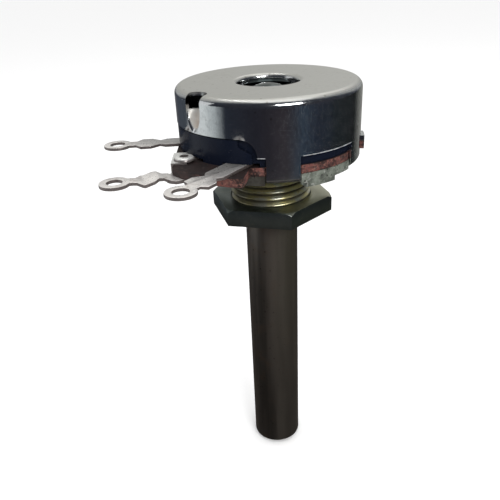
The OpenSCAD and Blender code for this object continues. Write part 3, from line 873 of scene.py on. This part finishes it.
class POT_OT_threaded_bush(bpy.types.Operator):
    """Builds the bush with its cut thread"""

    bl_idname = "pot.threaded_bush"
    bl_label = "Threaded bush"

    def execute(self, context):
        settings = context.scene.pot_bush
        bush = self.thread(settings)
        envelope = cylinder("bush_envelope", BUSH_R, BUSH_MOUTH, THREAD_TOP)
        bevel_rim(envelope, BUSH_MOUTH, settings.chamfer)
        combine(bush, envelope, "INTERSECT")
        collar = cylinder("bush_collar", COLLAR_R, COLLAR_LOW, BUSH_TOP)
        combine(bush, collar, "UNION")
        below = BUSH_MOUTH - MM
        bore = cylinder("bush_bore", SPINDLE_R + RUNNING_GAP, below, BUSH_TOP + MM)
        mouth = cylinder("bore_mouth", SPINDLE_R + MOUTH_WIDTH, below, BUSH_MOUTH + MOUTH_DEPTH)
        combine(bush, bore, "DIFFERENCE")
        combine(bush, mouth, "DIFFERENCE")
        smooth(bush, 38)
        finish_piece(
            bush, bush_finish(context.scene.pot_colors, settings.depth),
            "bush_brass", "housing", "threaded_bush",
        )
        return {"FINISHED"}

    @staticmethod
    def thread(settings):
        """A threaded rod that is longer than the bush at both ends."""
        root = BUSH_R - settings.depth
        pitch = settings.pitch
        start = BUSH_MOUTH - 1.5 * pitch
        turns = math.ceil((BUSH_TOP - start) / pitch) + 1
        # Radius, and share of the pitch, from one root over a rounded crest to the next
        outline = [
            (root, 0.0), (root, 0.10), (BUSH_R - 0.14 * MM, 0.33), (BUSH_R - 0.03 * MM, 0.43),
            (BUSH_R, 0.52), (BUSH_R - 0.03 * MM, 0.61), (BUSH_R - 0.14 * MM, 0.71), (root, 1.0),
        ]
        deselect()
        bpy.ops.mesh.primitive_plane_add(size=MM)
        rod = added("bush_with_thread")
        rod.data.clear_geometry()
        points = [(r, 0, start + share * pitch) for r, share in outline]
        rod.data.from_pydata(points, [(i, i + 1) for i in range(len(points) - 1)], [])
        use_modifier(
            rod, "SCREW", angle=math.tau, screw_offset=pitch, iterations=turns,
            steps=settings.steps, render_steps=settings.steps,
            use_merge_vertices=True, merge_threshold=0.001 * MM,
        )
        activate(rod)
        bpy.ops.object.mode_set(mode="EDIT")
        bpy.ops.mesh.select_all(action="SELECT")
        bpy.ops.mesh.remove_doubles(threshold=0.002 * MM)
        ends = ((BUSH_MOUTH - 0.2 * MM, True), (THREAD_TOP + 0.05 * MM, False))
        for height, clear_lower in ends:
            bpy.ops.mesh.select_all(action="SELECT")
            bpy.ops.mesh.bisect(
                plane_co=(0, 0, height), plane_no=(0, 0, 1), use_fill=True,
                clear_inner=clear_lower, clear_outer=not clear_lower,
            )
        bpy.ops.mesh.select_all(action="SELECT")
        bpy.ops.mesh.normals_make_consistent(inside=False)
        bpy.ops.object.mode_set(mode="OBJECT")
        return rod


class POT_OT_hex_nut(bpy.types.Operator):
    """Builds the hexagon nut"""

    bl_idname = "pot.hex_nut"
    bl_label = "Hexagon nut"

    def execute(self, context):
        settings = context.scene.pot_nut
        bottom, top = low("hex_nut").z, high("hex_nut").z
        places = [vertex.co for vertex in NODES["hex_nut"].data.vertices]
        corner = max(
            (place for place in places if abs(place.z - bottom) < 0.01 * MM),
            key=lambda place: place.xy.length,
        )
        corner_r = corner.xy.length
        nut = cylinder("nut", corner_r, bottom, top, sides=6)
        first = nut.data.vertices[0].co
        turn = math.atan2(corner.y, corner.x) - math.atan2(first.y, first.x)
        nut.data.transform(Matrix.Rotation(turn, 4, "Z"))
        dome = cylinder("nut_bevel", corner_r + 0.05 * MM, bottom - 0.1 * MM, top)
        bevel_rim(dome, top, settings.bevel)
        combine(nut, dome, "INTERSECT")
        hole = cylinder("nut_hole", BUSH_R + RUNNING_GAP, bottom - MM, top + MM)
        combine(nut, hole, "DIFFERENCE")
        round_edges(nut, settings.edge, 25)
        finish_piece(nut, nut_finish(context.scene.pot_colors), "nut_metal", "nut", "hex_nut")
        return {"FINISHED"}


class POT_OT_spindle(bpy.types.Operator):
    """Finishes the spindle"""

    bl_idname = "pot.spindle"
    bl_label = "Spindle"

    def execute(self, context):
        finish_node("spindle", spindle_finish(context.scene.pot_colors))
        return {"FINISHED"}


class POT_OT_track_board(bpy.types.Operator):
    """Finishes the board, the track and its ends"""

    bl_idname = "pot.track_board"
    bl_label = "Track board"

    def execute(self, context):
        finish_node("track_board", laminate_finish(context.scene.pot_colors))
        carbon = film_finish("carbon", (0.06, 0.06, 0.065), (0.02, 0.02, 0.022), 0.0)
        finish_node("resistive_track", carbon)
        silver = film_finish("silver_print", (0.70, 0.70, 0.68), (0.45, 0.44, 0.42), 0.8)
        for pad in ("end_pad_near", "end_pad_far"):
            finish_node(pad, silver)
        return {"FINISHED"}


class POT_OT_lugs(bpy.types.Operator):
    """Rounds the stamped lugs, and finishes them, their eyelets and the collector"""

    bl_idname = "pot.lugs"
    bl_label = "Lugs and eyelets"

    def execute(self, context):
        colors = context.scene.pot_colors
        tin = tin_finish("tin", colors.tin, 0.6, 0.85)
        bright = tin_finish("bright_tin", colors.bright_tin, 0.12, 0.85)
        for place in ("near", "middle", "far"):
            lug = rounded_copy("lug_" + place, context.scene.pot_lugs.edge)
            finish_piece(lug, tin, "tin", "housing", "lug_" + place)
            finish_node("eyelet_" + place, bright)
        finish_node("collector_ring", bright)
        return {"FINISHED"}


class POT_OT_mouldings(bpy.types.Operator):
    """Finishes the insulating ring and the rotor"""

    bl_idname = "pot.mouldings"
    bl_label = "Mouldings"

    def execute(self, context):
        black = context.scene.pot_colors.moulding
        polished = moulding_finish("black_moulding", black, 0.16, 0.15)
        finish_node("insulating_ring", polished)
        plain = moulding_finish("rotor_moulding", (0.03, 0.03, 0.033), 0.4, 0.5)
        finish_node("rotor", plain)
        return {"FINISHED"}


class POT_OT_small_parts(bpy.types.Operator):
    """Finishes the washer, the clip, the wiper and its buttons"""

    bl_idname = "pot.small_parts"
    bl_label = "Small parts"

    def execute(self, context):
        bronze = sprung_finish("spring_bronze", (0.60, 0.38, 0.22))
        for name in ("thrust_washer", "wiper_spring", "collector_button"):
            finish_node(name, bronze)
        finish_node("retaining_clip", sprung_finish("spring_steel", (0.38, 0.40, 0.43)))
        button = film_finish("contact_carbon", (0.09, 0.09, 0.10), (0.03, 0.03, 0.033), 0.0)
        finish_node("track_button", button)
        return {"FINISHED"}


class POT_OT_stage(bpy.types.Operator):
    """Sets up the floor, the light and the camera"""

    bl_idname = "pot.stage"
    bl_label = "Stage"

    def execute(self, context):
        scene = context.scene
        settings = scene.pot_stage
        self.floor(settings)
        self.world(scene, settings)
        self.lights(scene, settings)
        self.camera(scene, settings)
        scene.view_settings.view_transform = "Standard"
        return {"FINISHED"}

    @staticmethod
    def floor(settings):
        """Pale paper, which bright metal mirrors as a dim room with light cards."""
        deselect()
        bpy.ops.mesh.primitive_plane_add(size=6.0, location=(0, 0, SPINDLE_END - 0.05 * MM))
        floor = added("floor")
        set_down(floor)
        f = Finish("floor_paper")
        f.set(base_color=settings.floor_color, roughness=0.9, specular_ior_level=0.1)
        around = f.axis("Y").math("ARCTAN2", f.axis("X")) / math.tau + 0.5
        wander = f.noise(70 * MM, 3.0) * 0.03 - 0.015
        cards = f.node("ShaderNodeValToRGB", {"stops": ROOM_CARDS}, {0: around + wander})
        near = f.node("ShaderNodeValToRGB", {"stops": ROOM_NEAR}, {0: around})
        reach = f.radius()
        seen = f.blend(reach.step(*CLOSE_TO_NEAR), ROOM_CLOSE, near.outputs[0])
        seen = f.blend(reach.step(*NEAR_TO_FAR), seen, cards.outputs[0])
        cloud = f.noise(45 * MM, 4.0, offset=3.0)
        room = f.node("ShaderNodeEmission", None, {0: seen, 1: cloud.between(0.7, 1.3)})
        mirrored = f.node("ShaderNodeLightPath").outputs["Is Glossy Ray"]
        mix = f.node(
            "ShaderNodeMixShader", None,
            {0: mirrored, 1: f.shader.outputs[0], 2: room.outputs[0]},
        )
        output = next(node for node in f.tree.nodes if node.type == "OUTPUT_MATERIAL")
        f.tree.links.new(mix.outputs[0], output.inputs[0])
        floor.data.materials.append(f.material)

    @staticmethod
    def world(scene, settings):
        """A pale studio, which bright metal mirrors as bright overhead and dark in front."""
        world = bpy.data.worlds.new("studio")
        world.use_nodes = True
        tree = world.node_tree
        tree.nodes.clear()

        def node(kind, *inputs):
            made = tree.nodes.new(kind)
            for socket, value in zip(made.inputs, inputs):
                if isinstance(value, bpy.types.NodeSocket):
                    tree.links.new(value, socket)
                else:
                    socket.default_value = value
            return made

        looking = node("ShaderNodeTexCoord").outputs["Generated"]
        facing = node("ShaderNodeVectorMath", looking, ROOM_BRIGHT_SIDE)
        facing.operation = "DOT_PRODUCT"
        ramp = node("ShaderNodeValToRGB", facing.outputs["Value"])
        Finish.set_stops(ramp.color_ramp, ROOM_SKY)
        pale = node("ShaderNodeBackground", (1.0, 1.0, 1.0, 1.0), settings.sky)
        room = node("ShaderNodeBackground", ramp.outputs[0], 1.0)
        mirrored = node("ShaderNodeLightPath").outputs["Is Glossy Ray"]
        mix = node("ShaderNodeMixShader", mirrored, pale.outputs[0], room.outputs[0])
        node("ShaderNodeOutputWorld", mix.outputs[0])
        scene.world = world

    @staticmethod
    def lights(scene, settings):
        """Area lights turned to the origin: name, place, width and height, and watts."""
        boxes = [
            ("overhead_box", (0.02, 0.03, 0.26), (0.20, 0.20), 0.10),
            ("back_box", (-0.12, 0.20, 0.22), (0.16, 0.16), 0.04),
            ("left_card", (-0.17, -0.24, 0.08), (0.16, 0.16), 0.055),
            ("window", (0.26, -0.055, 0.155), (0.15, 0.07), 0.50),
            ("lamp", (-0.09, -0.03, 0.25), (0.03, 0.03), 0.035),
        ]
        for name, place, (width, height), watts in boxes:
            light = bpy.data.lights.new(name, "AREA")
            light.shape = "RECTANGLE"
            light.size, light.size_y = width, height
            light.energy = watts * settings.light
            box = bpy.data.objects.new(name, light)
            aim = (-Vector(place)).to_track_quat("-Z", "Y")
            box.matrix_world = Matrix.Translation(place) @ aim.to_matrix().to_4x4()
            scene.collection.objects.link(box)

    @staticmethod
    def camera(scene, settings):
        """A fixed camera, turned and tipped as the settings say."""
        data = bpy.data.cameras.new("camera")
        data.lens = settings.lens
        data.sensor_width = 36.0
        data.clip_start = MM
        camera = bpy.data.objects.new("camera", data)
        turn = (
            Matrix.Rotation(settings.yaw, 4, "Z")
            @ Matrix.Rotation(math.pi / 2 - settings.pitch, 4, "X")
            @ Matrix.Rotation(settings.roll, 4, "Z")
        )
        camera.matrix_world = Matrix.Translation(settings.camera_at) @ turn
        scene.collection.objects.link(camera)
        scene.camera = camera


OPERATORS = [
    POT_OT_cover,
    POT_OT_front_plate,
    POT_OT_threaded_bush,
    POT_OT_hex_nut,
    POT_OT_spindle,
    POT_OT_track_board,
    POT_OT_lugs,
    POT_OT_mouldings,
    POT_OT_small_parts,
    POT_OT_stage,
]


class POT_PT_build(bpy.types.Panel):
    """Buttons that build the potentiometer"""

    bl_idname = "POT_PT_build"
    bl_label = "Potentiometer"
    bl_space_type = "VIEW_3D"
    bl_region_type = "UI"
    bl_category = "Potentiometer"

    def draw(self, context):
        for group, settings in SETTING_GROUPS.items():
            column = self.layout.column(align=True)
            for key in settings.__annotations__:
                column.prop(getattr(context.scene, group), key)
        for operator in OPERATORS:
            self.layout.operator(operator.bl_idname)


def register():
    """Adds the settings, the operators and the panel to Blender."""
    for group, settings in SETTING_GROUPS.items():
        bpy.utils.register_class(settings)
        setattr(bpy.types.Scene, group, PointerProperty(type=settings))
    for operator in OPERATORS:
        bpy.utils.register_class(operator)
    bpy.utils.register_class(POT_PT_build)


def unregister():
    """Takes out what register adds."""
    bpy.utils.unregister_class(POT_PT_build)
    for operator in reversed(OPERATORS):
        bpy.utils.unregister_class(operator)
    for group, settings in SETTING_GROUPS.items():
        delattr(bpy.types.Scene, group)
        bpy.utils.unregister_class(settings)


def main():
    """Builds everything."""
    register()
    for operator in OPERATORS:
        category, name = operator.bl_idname.split(".")
        getattr(getattr(bpy.ops, category), name)()


if __name__ == "__main__":
    main()
